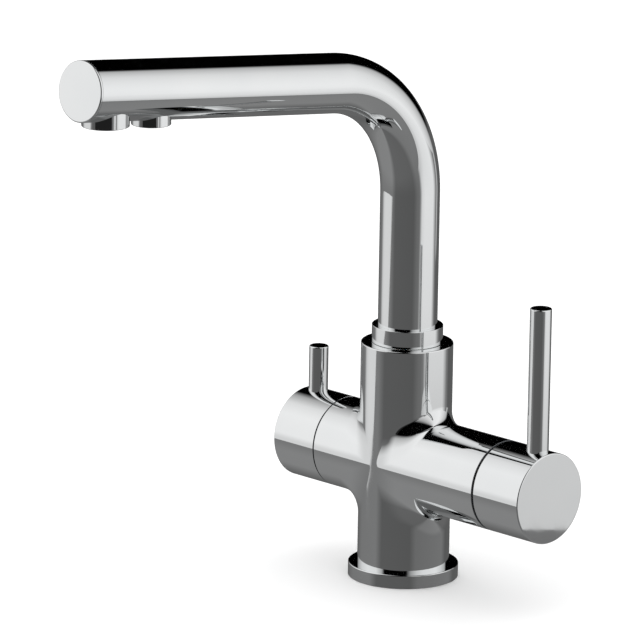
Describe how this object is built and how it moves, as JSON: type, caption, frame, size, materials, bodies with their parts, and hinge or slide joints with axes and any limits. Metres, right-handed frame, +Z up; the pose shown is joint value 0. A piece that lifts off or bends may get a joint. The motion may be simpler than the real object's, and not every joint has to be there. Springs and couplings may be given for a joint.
{
  "type": "three way filtered water tap",
  "caption": "Sink tap with a swivelling angled spout, a side mixer lever, a separate filtered water lever and an outlet for each.",
  "frame": {"origin": "centre of the base's underside, on the column's axis, at worktop height", "axes": "+Z up along the column, -Y along the spout, +X along the mixer arm, -X along the filtered water arm"},
  "size_m": [0.1604, 0.2387, 0.2784],
  "materials": {
    "chrome": "bright chrome plate on brass",
    "brass": "machined",
    "stainless_steel": "plain machined",
    "white_plastic": "moulded acetal",
    "jet_plastic": "moulded",
    "food_tube": "extruded polyethylene tube",
    "ceramic": null,
    "rubber": "moulded nitrile rubber"
  },
  "bodies": {
    "tap_body": {"body_casting": "chrome", "base_ring": "chrome", "base_gasket": "rubber", "spout_glide_ring": "white_plastic", "spout_retaining_screw": "stainless_steel", "filtered_nipple": "brass", "filtered_nipple_o_rings": "rubber", "mixer_cartridge_housing": "white_plastic", "mixer_cartridge_base": "white_plastic", "mixer_port_seals": "rubber", "mixer_fixed_disc": "ceramic", "mixer_cartridge_nut": "brass", "filter_valve_housing": "brass", "filter_valve_seat_washer": "rubber", "filter_fixed_disc": "ceramic"},
    "spout": {"spout_tube": "chrome", "spout_collar": "chrome", "spout_foot": "brass", "spout_foot_o_rings": "rubber", "spout_end_cap": "chrome", "filtered_water_tube": "food_tube", "filtered_tube_plug": "brass", "mixed_outlet_socket": "chrome", "mixed_aerator_washer": "rubber", "mixed_aerator_housing": "chrome", "mixed_aerator_insert": "jet_plastic", "filtered_outlet_socket": "chrome", "filtered_outlet_washer": "rubber", "filtered_outlet_housing": "chrome", "filtered_outlet_insert": "jet_plastic"},
    "mixer_carrier": {"mixer_cartridge_carrier": "white_plastic", "mixer_pivot_pin": "stainless_steel", "mixer_carrier_o_ring": "rubber"},
    "mixer_disc": {"mixer_moving_disc": "ceramic", "mixer_disc_coupler": "white_plastic"},
    "mixer_handle": {"mixer_stem": "brass", "mixer_handle_cap": "chrome", "mixer_lever_rod": "chrome", "mixer_handle_screw": "stainless_steel"},
    "filter_handle": {"filter_spindle": "brass", "filter_spindle_o_rings": "rubber", "filter_moving_disc": "ceramic", "filter_handle_cap": "chrome", "filter_lever_rod": "chrome", "filter_handle_screw": "stainless_steel"}
  },
  "joints": [
    {"name": "spout_swivel", "type": "hinge", "parent": "tap_body", "child": "spout", "pos_m": [0, 0, 0.1134], "axis": [0, 0, 1], "continuous": true},
    {"name": "mixer_temperature", "type": "hinge", "parent": "tap_body", "child": "mixer_carrier", "pos_m": [0.048, 0, 0.0566], "axis": [1, 0, 0], "range_deg": [-50, 50]},
    {"name": "mixer_flow", "type": "hinge", "parent": "mixer_carrier", "child": "mixer_handle", "pos_m": [0.048, 0, 0.0566], "axis": [0, 1, 0], "range_deg": [0, 25]},
    {"name": "mixer_disc_slide", "type": "slide", "parent": "mixer_carrier", "child": "mixer_disc", "axis": [0, 0, 1], "range_m": [0, 0.0044]},
    {"name": "filter_valve", "type": "hinge", "parent": "tap_body", "child": "filter_handle", "pos_m": [-0.0585, 0, 0.0566], "axis": [1, 0, 0], "range_deg": [0, 90]}
  ],
  "couplings": [
    {"joint": "mixer_disc_slide", "follows": "mixer_flow", "m_per_rad": 0.01}
  ]
}
